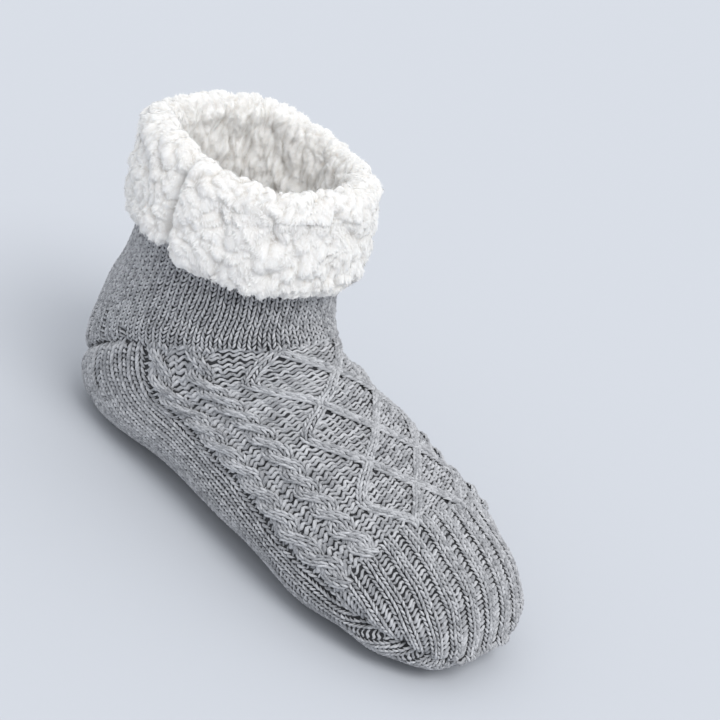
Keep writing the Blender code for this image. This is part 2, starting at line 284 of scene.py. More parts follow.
def station_at(wale, distance):
    """The station at an arc distance from station 0 down a wale."""
    wale, distance = np.broadcast_arrays(np.asarray(wale, float), np.asarray(distance, float))
    out = np.empty(wale.shape)
    g = np.mod(wale * PER_WALE, NW)
    j = g.astype(int) % NW
    v = g - np.floor(g)
    for column in np.unique(j):
        here = j == column
        a = np.interp(distance[here], ARC[:, column], STATIONS)
        b = np.interp(distance[here], ARC[:, (column + 1) % NW], STATIONS)
        out[here] = a * (1 - v[here]) + b * v[here]
    return out


def arc_at(station):
    """The distance down each wale to a station."""
    return np.array([np.interp(station, STATIONS, ARC[:, j]) for j in range(NW)])


ARC_TOP, ARC_BAND, ARC_TOE = arc_at(0.75), arc_at(BAND_END), arc_at(TOE)
beside_cable = int(CABLES[0] + 1) * PER_WALE
panel_length = (ARC_TOE - ARC_BAND)[[0, beside_cable]].mean()
COURSES = float(round(panel_length / COURSE))      # courses of the instep panel


def per_wale(field, wale):
    """Reading of a value that each wale has."""
    return np.interp(np.mod(wale * PER_WALE, NW), np.arange(NW + 1), np.append(field, field[0]))


def place(zone, wale, course):
    """The station of a wale and course in a zone of the knit."""
    if zone == "band":
        return station_at(wale, per_wale(ARC_TOP, wale) + course * COURSE)
    toe = per_wale(ARC_TOE, wale)
    if zone == "sole":
        return station_at(wale, toe + course * COURSE)
    band = per_wale(ARC_BAND, wale)
    on_panel, on_toe = band + course / COURSES * (toe - band), toe + (course - COURSES) * COURSE
    return station_at(wale, np.where(course < COURSES, on_panel, on_toe))


# Yarn: half round strands laid on the sheet
rng = np.random.default_rng(5)
ACROSS = 4                                         # points across a strand


def yarn(p, n, radius):
    """Vertices, faces and a tone of half round strands, one for each row of points p with normals n."""
    along = unit(np.gradient(p, axis=1))
    across = unit(np.cross(n, along))
    up = np.cross(along, across)
    # a little more than half round, so that the edges sink in
    turn = np.radians(np.linspace(-25.0, 205.0, ACROSS))
    c, z = np.cos(turn), 0.95 * np.sin(turn)
    shell = c[:, None] * across[:, :, None, :] + z[:, None] * up[:, :, None, :]
    v = p[:, :, None, :] + radius[:, :, None, None] * shell
    v[..., 2] = np.maximum(v[..., 2], 0.0)
    rows, stops = v.shape[:2]
    base = (np.arange(rows) * stops * ACROSS)[:, None, None]
    a = base + (np.arange(stops - 1) * ACROSS)[None, :, None] + np.arange(ACROSS - 1)[None, None, :]
    faces = np.stack([a, a + 1, a + ACROSS + 1, a + ACROSS], axis=-1).reshape(-1, 4)
    return v.reshape(-1, 3), faces, np.repeat(rng.uniform(0, 1, rows), stops * ACROSS)


def strands(zone, wale, course, high, radius):
    """Strands whose middle lines are rows of wale and course in a zone, and stray a little from them."""
    stray = 0.16 * np.sin(0.83 * wale + 1.7 * np.sin(0.37 * course))
    wale = wale + 0.10 * np.sin(0.61 * course + 1.9 * np.sin(0.29 * wale))
    s = place(zone, wale, course + stray)
    n = on_grid(NORMALS, s, wale)
    return yarn(on_grid(SHEET, s, wale) + n * high[..., None], n, radius)


# Radius and height of a leg along its length, and of a bar across the stitch
LEG_AT = (0.0, 0.2, 0.5, 0.8, 1.0)
LEG_RADIUS = (0.36, 0.90, 1.08, 0.88, 0.34)
LEG_HEIGHT = (-1.00, 0.45, 1.00, 0.50, -0.95)
BAR_AT = np.linspace(-0.5, 0.5, 7)
BAR_HEIGHT = 1.30 * np.cos(math.pi * BAR_AT) - 0.30
BAR_SLOPE = 0.30 * np.sin(2 * math.pi * BAR_AT)
BAR_RADIUS = 0.66 + 0.40 * np.cos(math.pi * BAR_AT)


def knit(zone, wale, course, path=None, lift=0.0, radius=YARN_RADIUS, slant=0.33, length=1.42, stops=5,
         odd=None):
    """Columns of knit legs that lean to and fro by turns. path moves a column with its course."""
    odd = np.mod(np.floor(wale), 2) if odd is None else odd
    leg = np.linspace(0.0, 1.0, stops)
    thick, hill = np.interp(leg, LEG_AT, LEG_RADIUS), np.interp(leg, LEG_AT, LEG_HEIGHT)
    jitter = rng.normal(0, 1, (4, len(wale)))[..., None]
    hand = np.where(odd > 0, -1.0, 1.0)[:, None]
    c = course[:, None] + length * (leg - 0.5) + 0.06 * jitter[0]
    spread = hand * slant * (2 * leg - 1) * (1 + 0.15 * jitter[2]) + 0.025 * jitter[1]
    middle = wale[:, None] if path is None else path(wale[:, None], c)
    rise = lift(wale[:, None], c) if callable(lift) else lift
    high = 0.00005 + HILL * hill * (1 + 0.12 * jitter[2]) + rise
    return [strands(zone, middle + spread, c, high, radius * thick * (1 + 0.06 * jitter[3]))]


def purl(zone, wale, course, lift, wide, radius, slope=1.0):
    """Purl stitches: a bar across the stitch, curved like an S and humped in the middle."""
    jitter = rng.normal(0, 1, (4, len(wale)))[..., None]
    w = wale[:, None] + BAR_AT * wide + 0.05 * jitter[0]
    c = course[:, None] + slope * BAR_SLOPE * (1 + 0.25 * jitter[2]) + 0.08 * jitter[1]
    high = HILL * BAR_HEIGHT * (1 + 0.15 * jitter[2]) + lift
    return [strands(zone, w, c, high, radius * BAR_RADIUS * (1 + 0.10 * jitter[3]))]


def wale_width(zone, wale, course):
    """How wide a wale is here, against its width on the sole."""
    s = place(zone, wale, course)
    across = on_grid(SHEET, s, wale + 0.5) - on_grid(SHEET, s, wale - 0.5)
    return np.linalg.norm(across, axis=-1) / PITCH_SOLE


# The charts of the knitting
def spots(columns, courses):
    """Every column with every course, column by column."""
    w, c = np.meshgrid(columns, courses, indexing="ij")
    return w.ravel(), c.ravel()


def cells(low_w, high_w, low_c, high_c, width=1.0):
    """Middles and course numbers of a block of columns, each one wale wide or as many as given."""
    return spots(np.arange(low_w, high_w, width) + width / 2, np.arange(low_c, high_c, 1.0))


# Middle wales of the purl ladders
LADDERS = np.array([35.0, 41.0, 47.0, 53.0, 60.0, 67.0, 73.0, 79.0, 85.0])


def near_ladder(wale):
    """The wale of the nearest ladder, and whether it lies within its two columns."""
    mate = LADDERS[np.argmin(np.abs(wale[:, None] - LADDERS), axis=1)]
    return mate, np.abs(wale - mate) < 1.0


def is_barred(zone, wale, course):
    """Whether a ladder is purl here: above or below the heel's crease, or at the toe's sides."""
    s = place(zone, wale, course)
    gone = on_grid(ARC, s, wale) - on_grid(ARC, gore_station(wale), wale)
    reach = np.sqrt(np.clip((folded(wale) - PANEL - 5) / 24, 0, 1))
    if zone == "band":
        return (gone < -0.0011) & (gone > -0.008 - 0.020 * reach)
    # the two ladders at each of the toe's sides start at these stations
    start = np.where(folded(wale) < 38, 14.4, 15.4)
    at_toe = (folded(wale) < 44) & (s > start) & (on_grid(BESIDE, s, wale) > 0.3 * PITCH_SOLE)
    return (gone > 0.0014) & (s < CLOSED - 0.25) & ((gone < 0.040 * reach) | at_toe)


def ladders(zone, low_c, high_c):
    """The ladders' bars, each as wide as two columns."""
    w, c = spots(LADDERS, np.arange(low_c, high_c, 1.0))
    use = is_barred(zone, w, c)
    return purl(zone, w[use], c[use], -0.0003, 1.85, 0.00056, 0.65)


def bands_at(course):
    """Wales from the lattice's middle line to its inner and its outer arm, the outer with round corners."""
    from_corner = np.abs(1.0 - np.mod(course / COURSES * STEPS, 2.0))
    return DIAMOND * (1.0 - from_corner), DIAMOND * (1.006 - np.sqrt(from_corner ** 2 + 0.014))


def nearest_band(wale, course):
    """Distance in wales to the nearest band of the lattice."""
    f = folded(wale)
    inner, outer = bands_at(course)
    d = np.minimum(np.abs(f - DIAMOND - outer), np.abs(f - DIAMOND + inner))
    return np.where((course > -0.5) & (course < COURSES + 0.5), d, 99.0)


def ankle_band():
    """Stockinette of the ankle, and the ladders that run up from the heel's crease."""
    w, c = cells(0, BAND_COLUMNS, 0, BAND_COURSES)
    odd = np.mod(np.floor(w), 2)
    w = w * 2 * HALF / BAND_COLUMNS
    s = place("band", w, c)
    edge = np.where(folded(w) < PANEL, BAND_END, gore_station(w))
    left = on_grid(ARC, edge, w) - on_grid(ARC, s, w)
    mate, close = near_ladder(w)
    use = (left > np.where(folded(w) < PANEL, 0.0002, 0.0008)) & ~(close & is_barred("band", mate, c))
    legs = knit("band", w[use], c[use], radius=0.00054, slant=0.25, odd=odd[use])
    return legs, ladders("band", 0, BAND_COURSES)


def foot_below():
    """Stockinette of the heel and sides, that of the sole, and the ladders of both."""
    w, c = cells(PANEL, 2 * HALF - PANEL, *FOOT_COURSES)
    s = place("sole", w, c)
    gone = per_wale(ARC_TOE, w) + c * COURSE - on_grid(ARC, gore_station(w), w)
    beside = on_grid(BESIDE, s, w)
    f = folded(w)
    mate, close = near_ladder(w)
    use = (gone > 0.0007) & (s < CLOSED - 0.28) & (beside > 0.05 * PITCH_SOLE)
    use = use & ~(close & is_barred("sole", mate, c))
    upper, under = use & (f <= 47), use & (f > 47)
    thick = 0.00048 * np.clip(1.25 * wale_width("sole", w, c) - 0.25, 0.95, 2.5)[:, None]
    sides = knit("sole", w[upper], c[upper], radius=thick[upper], slant=0.25, length=1.6)
    sole = knit("sole", w[under], c[under], radius=thick[under], slant=0.26, stops=4)
    return sides, sole, ladders("sole", *FOOT_COURSES)


def purl_ground():
    """Reverse stockinette of the instep panel, and the column of holes along its border."""
    w, c = cells(-PANEL, PANEL, 0, COURSES, 2 * PANEL / PURL_COLUMNS)
    from_cable = np.minimum(np.abs(folded(w) - CABLES[0]), np.abs(folded(w) - CABLES[1]))
    use = (from_cable > 1.25) & (nearest_band(w, c) > 0.95) & (folded(w) < PANEL - 2)
    low = np.where(from_cable < 2.5, -0.0004, -0.0001)[:, None]
    row = (per_wale(ARC_TOE, w) - per_wale(ARC_BAND, w)) / COURSES
    thick = (0.355 * np.clip(row, 0.0019, 0.0030))[:, None]
    out = purl("panel", w[use], c[use], low[use], 2.05, thick[use])
    w, c = cells(-PANEL, PANEL, 0, COURSES)
    edge = folded(w) > PANEL - 1
    holes = (folded(w) > PANEL - 2) & ~edge
    out = out + knit("panel", w[edge], c[edge])
    return out + purl("panel", w[holes], c[holes], -0.0003, 1.5, 0.00046, 0.4)


PLY = np.array([-1.5, -0.5, 0.5, 1.5])             # columns of legs in a band, ply or rib


def lattice():
    """Bands that travel, one over the other by turns where they cross."""
    w, c = spots(PLY, np.arange(0.0, COURSES + 0.5, 1.05))
    out = []
    for hand in (-1.0, 1.0):
        for arm in (-1.0, 1.0):
            def path(wale, course, arm=arm, hand=hand):
                inner, outer = bands_at(np.clip(course, 0, COURSES))
                return hand * (DIAMOND + (outer if arm > 0 else -inner)) + wale * 0.66

            def lift(wale, course, arm=arm):
                turn = np.mod(course / COURSES * STEPS, 4.0)
                over = np.cos(math.pi * (turn - (0.0 if arm > 0 else 2.0)) / 2.0)
                return 0.00140 + 0.00030 * over - 0.00022 * wale ** 2
            out += knit("panel", w, c, path, lift, 0.00058, 0.25, 1.62)
    return out


def cables():
    """Two plies each, that cross over each other by turns."""
    w, c = spots(PLY, np.arange(0.0, COURSES + 0.5, 1.08))
    out = []
    for hand in (-1.0, 1.0):
        for middle, turn in zip(CABLES, CABLE_TURNS):
            for ply in (0.0, 1.0):
                def swing(course, turn=turn, ply=ply):
                    return math.pi * (course / turn * 2.0 + ply)

                def path(wale, course, hand=hand, middle=middle, swing=swing):
                    return hand * (middle + 1.20 * np.cos(swing(course)) + wale * 0.62)

                def lift(wale, course, swing=swing):
                    return 0.00110 + 0.00110 * np.sin(swing(course)) - 0.00018 * wale ** 2
                out += knit("panel", w, c, path, lift, 0.00060, 0.24, 1.66)
    return out


def toe_ribs():
    """Ribs of four narrow columns of legs and valleys of one wide purl column over the toe."""
    courses = np.arange(COURSES, COURSES + TOE_COURSES)
    centres = np.arange(-PANEL, PANEL + 1.0, RIB)
    column, centre, c = (part.ravel() for part in np.meshgrid(PLY, centres, courses))
    w = centre + 0.77 * column
    s = place("panel", w, c)
    use = (on_grid(BESIDE, s, w) < -0.05 * PITCH_TOP) & (s < CLOSED - 0.24)
    rise = (0.00110 * hump(column / 2.4) * smooth(c, COURSES - 1, COURSES + 3))[use, None]
    odd = np.mod(column + 1.5, 2.0)[use]
    ribs = knit("panel", w[use], c[use], lift=rise, radius=0.00054, slant=0.25, odd=odd)
    w, c = (part.ravel() for part in np.meshgrid(centres[:-1] + RIB / 2, courses))
    s = place("panel", w, c)
    use = (on_grid(BESIDE, s, w) < -0.6 * PITCH_TOP) & (s < CLOSED - 0.25)
    return ribs + purl("panel", w[use], c[use], -0.0002, 2.05, 0.00072)


def toe_seam():
    """Stitches that draw the toe's slit together."""
    tip_x, _, tip_z = ring(CLOSED, 0.0)
    t = np.linspace(-1.0, 1.0, 5)
    y = np.arange(-7.5, 8.0)[:, None] * PITCH_TOP + 0.0006 * t
    x, y, z = np.broadcast_arrays(tip_x + 0.0003 - 0.0011 * t ** 2, y, tip_z + 0.0016 * t)
    forward = np.broadcast_to([1.0, 0.0, 0.0], (*y.shape, 3))
    return [yarn(np.stack([x, y, z], axis=-1), forward, np.full(y.shape, 0.00050))]


# Materials
def new_group(name, inputs, outputs):
    """A shader node group with named sockets."""
    tree = bpy.data.node_groups.new(name, "ShaderNodeTree")
    for label, kind in inputs:
        tree.interface.new_socket(name=label, in_out="INPUT", socket_type=kind)
    for label, kind in outputs:
        tree.interface.new_socket(name=label, in_out="OUTPUT", socket_type=kind)
    return tree, tree.nodes.new("NodeGroupInput"), tree.nodes.new("NodeGroupOutput")


def add(tree, kind, **values):
    """A node with its properties and input values set by name."""
    node = tree.nodes.new(kind)
    for key, value in values.items():
        if hasattr(node, key):
            setattr(node, key, value)
        else:
            node.inputs[key.replace("_", " ")].default_value = value
    return node


def grain(tree, scale, detail, rough, vector):
    """Noise of a scale over a vector."""
    node = add(tree, "ShaderNodeTexNoise", Scale=scale, Detail=detail, Roughness=rough)
    tree.links.new(vector, node.inputs["Vector"])
    return node.outputs[0]


def weigh(tree, parts, start):
    """The sum of values, each times its weight, from a start."""
    total = None
    for source, weight in parts:
        node = add(tree, "ShaderNodeMath", operation="MULTIPLY_ADD")
        tree.links.new(source, node.inputs[0])
        node.inputs[1].default_value = weight
        node.inputs[2].default_value = start
        if total is not None:
            tree.links.new(total, node.inputs[2])
        total = node.outputs[0]
    return total


MIX_A, MIX_B, MIX_RESULT = 6, 7, 2                 # the Mix node's sockets for colours


def blend(tree, mask, low, high):
    """A colour between two, by a mask."""
    node = add(tree, "ShaderNodeMix", data_type="RGBA")
    tree.links.new(mask, node.inputs[0])
    tree.links.new(low, node.inputs[MIX_A])
    tree.links.new(high, node.inputs[MIX_B])
    return node.outputs[MIX_RESULT]


def heather_group():
    """Pale and dark fibres mixed at three scales, and the height of the fibres."""
    tree, given, out = new_group(
        "heather", [("Dark", "NodeSocketColor"), ("Light", "NodeSocketColor"), ("Tone", "NodeSocketFloat")],
        [("Color", "NodeSocketColor"), ("Height", "NodeSocketFloat")])
    where = tree.nodes.new("ShaderNodeTexCoord").outputs["Object"]
    fine = grain(tree, 2600, 2.0, 0.6, where)
    middle = grain(tree, 900, 3.0, 0.6, where)
    broad = grain(tree, 70, 2.0, 0.5, where)
    mask = weigh(tree, [(fine, 0.90), (middle, 0.60), (broad, 0.25), (given.outputs["Tone"], 0.42)], -0.605)
    tree.links.new(blend(tree, mask, given.outputs["Dark"], given.outputs["Light"]), out.inputs["Color"])
    tree.links.new(weigh(tree, [(middle, 0.7), (fine, 0.3)], 0.0), out.inputs["Height"])
    return tree


def pile_group():
    """Curly pile, with painted light on the locks' tops and painted shade in the creases, and fibres that
    run along each lock.
    """
    tree, given, out = new_group(
        "pile", [("Crease Shade", "NodeSocketColor"), ("High", "NodeSocketColor"), ("Lock", "NodeSocketVector"),
                 ("Painted Light", "NodeSocketFloat")],
        [("Color", "NodeSocketColor"), ("Height", "NodeSocketFloat")])
    where = tree.nodes.new("ShaderNodeTexCoord").outputs["Object"]
    fine = grain(tree, 1900, 3.0, 0.65, where)
    fibres = grain(tree, 1.0, 3.0, 0.6, given.outputs["Lock"])
    mask = weigh(tree, [(given.outputs["Painted Light"], 1.0), (fibres, 0.5), (fine, 0.25)], -0.32)
    tree.links.new(blend(tree, mask, given.outputs["Crease Shade"], given.outputs["High"]), out.inputs["Color"])
    tree.links.new(weigh(tree, [(fibres, 0.75), (fine, 0.25)], 0.0), out.inputs["Height"])
    return tree


HEATHER, PILE = heather_group(), pile_group()


def finish(name, group, roughness, specular, sheen, bump_depth, colours, fields):
    """A material with one effect group, whose colours and mesh attributes are given by socket name."""
    made = bpy.data.materials.new(name)
    made.use_nodes = True
    tree = made.node_tree
    shader = tree.nodes["Principled BSDF"]
    effect = add(tree, "ShaderNodeGroup", node_tree=group)
    for label, colour in colours.items():
        effect.inputs[label].default_value = (*colour, 1.0)
    for label, attribute in fields.items():
        source = add(tree, "ShaderNodeAttribute", attribute_name=attribute)
        kind = "Vector" if label == "Lock" else "Fac"
        tree.links.new(source.outputs[kind], effect.inputs[label])
    bump = add(tree, "ShaderNodeBump", Strength=0.7, Distance=bump_depth)
    tree.links.new(effect.outputs["Height"], bump.inputs["Height"])
    tree.links.new(bump.outputs[0], shader.inputs["Normal"])
    tree.links.new(effect.outputs["Color"], shader.inputs["Base Color"])
    shader.inputs["Roughness"].default_value = roughness
    shader.inputs["Specular IOR Level"].default_value = specular
    shader.inputs["Sheen Weight"].default_value = sheen
    shader.inputs["Sheen Roughness"].default_value = 0.55
    return made, shader


def grey_yarn(name, dark, light):
    """Heathered yarn of a dark and a light grey."""
    made, _ = finish(name, HEATHER, 0.88, 0.22, 0.25, 0.00030, {"Dark": dark, "Light": light},
                     {"Tone": "tone"})
    return made


def sherpa(name, deep, high, glow):
    """Curly pile, with a warmer painted shade where it is deep. It lets light through by its glow."""
    made, shader = finish(name, PILE, 0.95, 0.06, 0.15, 0.00030, {"Crease Shade": deep, "High": high},
                          {"Lock": "lock", "Painted Light": "painted_light"})
    shader.inputs["Subsurface Weight"].default_value = glow
    shader.inputs["Subsurface Radius"].default_value = (1.0, 0.95, 0.9)
    shader.inputs["Subsurface Scale"].default_value = 0.0042
    return made


# the cream is painted shade for the pile's creases; the white is the pile's colour on its tops
SHADE_CREAM, WHITE = (0.685, 0.655, 0.610), (0.826, 0.820, 0.808)
YARN = grey_yarn("yarn", (0.115, 0.120, 0.132), (0.688, 0.696, 0.720))
# painted shade: near-black colours, far darker than the yarn, for the sheet seen between the stitches and
# for the hem's edge
GAP_SHADE = grey_yarn("painted_gap_shade", (0.011, 0.011, 0.013), (0.060, 0.062, 0.068))
FLEECE = sherpa("sherpa", SHADE_CREAM, WHITE, 0.80)
FUZZ = sherpa("sherpa_fuzz", SHADE_CREAM, WHITE, 0.0)
# the lining is the same pile in paler colours than the cuff: painted light against the shade inside the
# shaft, with its deeper colour painted shade in the creases
LINING = sherpa("sherpa_lining", (0.915, 0.885, 0.840), (0.968, 0.956, 0.935), 0.80)


# Meshes
def new_object(name, mesh, material, fields):
    """An object with smooth faces, one material and the point fields that the material reads."""
    for label, (kind, values) in fields.items():
        field = mesh.attributes.new(label, kind, "POINT")
        reading = "vector" if kind == "FLOAT_VECTOR" else "value"
        field.data.foreach_set(reading, values.astype(np.float32).ravel())
    mesh.polygons.foreach_set("use_smooth", np.ones(len(mesh.polygons), bool))
    mesh.materials.append(material)
    obj = bpy.data.objects.new(name, mesh)
    bpy.context.collection.objects.link(obj)
    return obj


def join(name, parts, material):
    """One piece of many strands, each with its own tone."""
    starts = np.cumsum([0] + [len(points) for points, _, _ in parts])
    v = np.concatenate([points for points, _, _ in parts])
    f = np.concatenate([faces + start for (_, faces, _), start in zip(parts, starts)])
    tones = np.concatenate([tone for _, _, tone in parts])
    mesh = bpy.data.meshes.new(name)
    mesh.vertices.add(len(v))
    mesh.vertices.foreach_set("co", v.ravel())
    mesh.loops.add(f.size)
    mesh.loops.foreach_set("vertex_index", f.ravel())
    mesh.polygons.add(len(f))
    mesh.polygons.foreach_set("loop_start", np.arange(len(f)) * f.shape[1])
    mesh.update(calc_edges=True)
    return new_object(name, mesh, material, {"tone": ("FLOAT", tones)})


def even_tone(count):
    """The field of a piece that has one tone all over."""
    return {"tone": ("FLOAT", np.full(count, 0.5))}


def grid_mesh(name, points, material, fields, cap=False):
    """A piece through rings of points, whose last ring may be closed by a cap."""
    rows, cols = points.shape[:2]
    i, j = np.arange(rows - 1)[:, None], np.arange(cols)[None, :]
    k = (j + 1) % cols
    faces = np.stack([i * cols + j, i * cols + k, (i + 1) * cols + k, (i + 1) * cols + j], axis=-1)
    faces = faces.reshape(-1, 4).tolist()
    if cap:
        faces.append([(rows - 1) * cols + q for q in range(cols)])
    mesh = bpy.data.meshes.new(name)
    mesh.from_pydata(points.reshape(-1, 3).tolist(), [], faces)
    return new_object(name, mesh, material, fields)


def gap_shade_sheet():
    """Painted shade: a near-black sheet under the stitches, seen in the gaps between them."""
    wales = np.arange(GROUND_STEPS) / GROUND_STEPS * 2 * HALF
    s, w = np.meshgrid(np.linspace(0.4, CLOSED, GROUND_ROWS), wales, indexing="ij")
    band, toe = per_wale(ARC_BAND, w), per_wale(ARC_TOE, w)
    course = (on_grid(ARC, s, w) - band) / (toe - band) * COURSES
    on_panel = (course > 0) & (course < COURSES)
    rise = 0.0010 * hump(nearest_band(w, course) / 1.5)
    for middle in CABLES:
        rise = np.maximum(rise, 0.0009 * hump((folded(w) - middle) / 2.2) * on_panel)
    p = on_grid(SHEET, s, w) + on_grid(NORMALS, s, w) * (rise - 0.00042)[..., None]
    p[..., 2] = np.maximum(p[..., 2], 0.0010)
    return grid_mesh("knit_gap_shade", p, GAP_SHADE, even_tone(s.size))


# The shaft's own rings, for what is turned over it
SHAFT = np.linspace(0, 2, 200)                     # stations of the shaft
HEIGHTS = ring(SHAFT, math.pi / 2)[:, 2]
STACK = TURN_GAP + WALL + CLEAR                    # from the shaft out to the fleece
UPWARD = np.array([0, 0, 1.0])


def shaft_station(depth):
    """The shaft's station at a depth below the turn."""
    return float(np.interp(depth - TURN_HEIGHT, -HEIGHTS, SHAFT))


def shaft_ring(station, angle, offset, rise):
    """Points beside the shaft, out level by an offset and up by a rise, and the level normals."""
    t = ring(station, angle + 0.01) - ring(station, angle - 0.01)
    n = unit(np.stack([t[..., 1], -t[..., 0], 0 * t[..., 0]], axis=-1))
    out, up = np.asarray(offset)[..., None], np.asarray(rise)[..., None]
    return ring(station, angle) + n * out + UPWARD * up, n


def petals(u, v, length, width, girth, seed, swing):
    """Overlapping locks of pile that point down a strip, u round its girth and v down it.

    Gives the heights of the top lock and the next, the top one's number, and the place along and across it.
    """
    seeded = np.random.default_rng(seed)
    count_u, size_v = int(girth / (width * 0.78)), length * 0.50
    size_u, count_v = girth / count_u, int(np.ceil(v.max() / size_v)) + 8
    shape = (count_u, count_v)
    ju, jv = seeded.uniform(0.0, 1.0, shape), seeded.uniform(0.0, 1.0, shape)
    lie, own = seeded.normal(0.0, swing, shape), seeded.uniform(0, 1, shape)
    gu, gv = u / size_u, v / size_v + 4
    iu, iv = np.floor(gu).astype(int), np.floor(gv).astype(int)
    top, next_top, number = np.zeros(u.shape), np.zeros(u.shape), np.zeros(u.shape)
    lengthwise, crosswise = np.zeros(u.shape), np.zeros(u.shape)
    for a in (-1, 0, 1):
        for b in (-2, -1, 0, 1, 2):
            cu, cv = iu + a, np.clip(iv + b, 0, count_v - 1)
            k = (cu % count_u, cv)
            du, dv = (gu - (cu + ju[k])) * size_u, (cv + jv[k] - gv) * size_v
            c, s = np.cos(lie[k]), np.sin(lie[k])
            size = 0.80 + 0.35 * own[k]
            x, y = (dv * c + du * s) / (length * 0.5 * size), (du * c - dv * s) / (width * 0.5 * size)
            inside = np.clip(1 - np.clip(x, 0, 9) ** 3 - np.clip(-x, 0, 9) ** 2 - y * y, 0, 1)
            high = inside ** 0.75 * (0.68 + 0.32 * x) * (0.70 + 0.45 * own[k])
            over = high > top
            next_top = np.where(over, top, np.maximum(next_top, high))
            number = np.where(over, own[k], number)
            lengthwise, crosswise = np.where(over, x, lengthwise), np.where(over, y, crosswise)
            top = np.maximum(top, high)
    return top, next_top, number, lengthwise, crosswise


def pile_height(u, v, seed, girth, size=0.0072, height=0.0026, combed=0.0):
    """Height of the pile over a strip of a girth, with the fields that its material reads."""
    turns = 2 * math.pi / girth
    warp_u = 0.0014 * np.sin(u * turns * 13 + 2 * np.sin(v * 230))
    warp_v = 0.0014 * np.sin(u * turns * 17 + 2 * np.sin(v * 170))
    u1, v1 = u + warp_u, v + warp_v
    big, big_next = petals(u1, v1, size * 2.0, size * 1.35, girth, seed, 0.40)[:2]
    small, small_next, own, along, across = petals(u1 + 0.001, v1, size, size * 0.72, girth, seed + 1, 0.50)
    part = 0.5 + 0.5 * np.sin(u * turns * 4 + 2 * np.sin(v * 60 + 1))
    lump = np.sin(u * turns * 9 + 2.2 * np.sin(v * 150 + 1)) * np.sin(v * 210 + 1.5 * np.sin(u * turns * 6))
    fine_share = (0.52 + 0.34 * part) * (1 - 0.30 * combed)
    high = height * ((1.10 + 0.10 * combed) * big + fine_share * small) + 0.0009 * lump - 0.0025
    # painted light and shade on the pile: crease falls to 0 between locks, and the mask below puts painted
    # shade there and paler painted light on the locks' high tops
    crease = smooth(small - small_next, 0.0, 0.14) * (0.5 + 0.5 * smooth(big - big_next, 0.0, 0.12))
    painted_light = np.clip(0.10 + 0.42 * small + 0.30 * big + 0.25 * crease, 0, 1)
    lock = np.stack([along * 0.9, across * 3.2, own * 3.0], axis=-1)
    return high, {"painted_light": ("FLOAT", painted_light), "lock": ("FLOAT_VECTOR", lock)}


def cuff_profile():
    """The cuff's profile: under its lower edge, up outside, over the turn and a little way down inside.

    Each point has a station, offset and rise, and the level and upward part of its normal.
    """
    low, deep = shaft_station(CUFF_DEPTH), shaft_station(LINING_DEPTH)
    under, up, over = int(CUFF_ROWS * 0.10), int(CUFF_ROWS * 0.43), int(CUFF_ROWS * 0.31)
    inner = CUFF_ROWS - under - up - over
    lip = 0.0042                                   # radius of the lower edge
    out = []
    # round the lower edge
    for k in range(under):
        a = -math.pi / 2 * (1 - k / under)
        out.append((low, STACK + PILE_OUT * 0.95 - lip + lip * math.cos(a), lip * (1 + math.sin(a)) - 0.001,
                    math.cos(a), math.sin(a)))
    # up outside, with a belly
    for k in range(up):
        t = k / up
        belly = 1.02 + 0.14 * math.sin(math.pi * min(1.0, t * 1.25)) - 0.10 * t
        out.append((low * (1 - t), STACK + PILE_OUT * belly - 0.0003, 0.0032 * (1 - t), 1.0, 0.0))
    # over the turn
    for k in range(over):
        a = math.pi * k / over
        inward = max(0.0, a / math.pi * 2 - 1)
        r = STACK - TURN_GAP / 2 + PILE_OUT * 0.92 + (PILE_IN - PILE_OUT * 0.92) * inward
        out.append((0.0, TURN_GAP / 2 + r * math.cos(a), (STACK - TURN_GAP / 2 + PILE_TOP) * math.sin(a),
                    math.cos(a), math.sin(a)))
    # down inside
    for k in range(inner):
        full = 0.0028 * smooth(k / inner)
        out.append((deep * k / inner * 0.5, -(WALL + CLEAR + PILE_IN + full), 0.0, -1.0, 0.0))
    return np.array(out)


def sherpa_cuff():
    """The turned cuff: one thick roll of pile with an upright fold on the right side."""
    st, off, rise, level, upward = cuff_profile().T
    z = np.interp(st, SHAFT, HEIGHTS) + rise
    run = np.concatenate([[0.0], np.cumsum(np.hypot(np.diff(off), np.diff(z)))])
    angles = np.linspace(0, 2 * math.pi, CUFF_STEPS, endpoint=False)
    angle, row = np.meshgrid(angles, np.arange(CUFF_ROWS), indexing="xy")
    run = run[row]                                 # distance from the profile's first point
    apart = (angle - FOLD_ANGLE + math.pi) % (2 * math.pi) - math.pi
    outer = np.clip(1 - (run / 0.058) ** 3, 0, 1)
    # the front part laps over the part behind it
    lapped = angle - 0.055 * bell((apart - 0.10) / 0.075) * outer
    base, n = shaft_ring(st[row], lapped, off[row], rise[row])
    n = n * level[row][..., None] + UPWARD * upward[row][..., None]
    # over the turn the pile lies more evenly
    combed = bell((run - 0.054) / 0.013)
    high, fields = pile_height(angle / (2 * math.pi) * CUFF_GIRTH, run, 21, CUFF_GIRTH, combed=combed)
    valley = 0.0052 * bell(apart / 0.060) - 0.0016 * bell((apart - 0.20) / 0.13)
    valley = valley - 0.0010 * bell((apart + 0.25) / 0.15)
    p = base + n * (high - valley * outer)[..., None]
    # the lower edge hangs in waves, and lower in front of the fold
    edge = np.clip(1 - run / 0.045, 0, 1)
    hang = -0.0016 * smooth(apart, 0.0, 0.16) * (1 - smooth(apart, 1.2, 2.0))
    hang = hang + 0.0022 * bell((apart - 1.10) / 0.34)
    wave = 0.0011 * np.sin(angle * 2 + 0.6) + 0.0008 * np.sin(angle * 5 + 2.0)
    crest = 0.0016 * np.sin(angle * 3 + 1.0) * bell((run - 0.055) / 0.02)
    scallop = 0.0008 * np.sin(angle * 57 + 2 * np.sin(angle * 13)) * np.clip(1 - run / 0.010, 0, 1)
    p[..., 2] += (hang + wave) * edge + crest + scallop
    return grid_mesh("sherpa_cuff", p, FLEECE, fields), sherpa_fuzz(p)


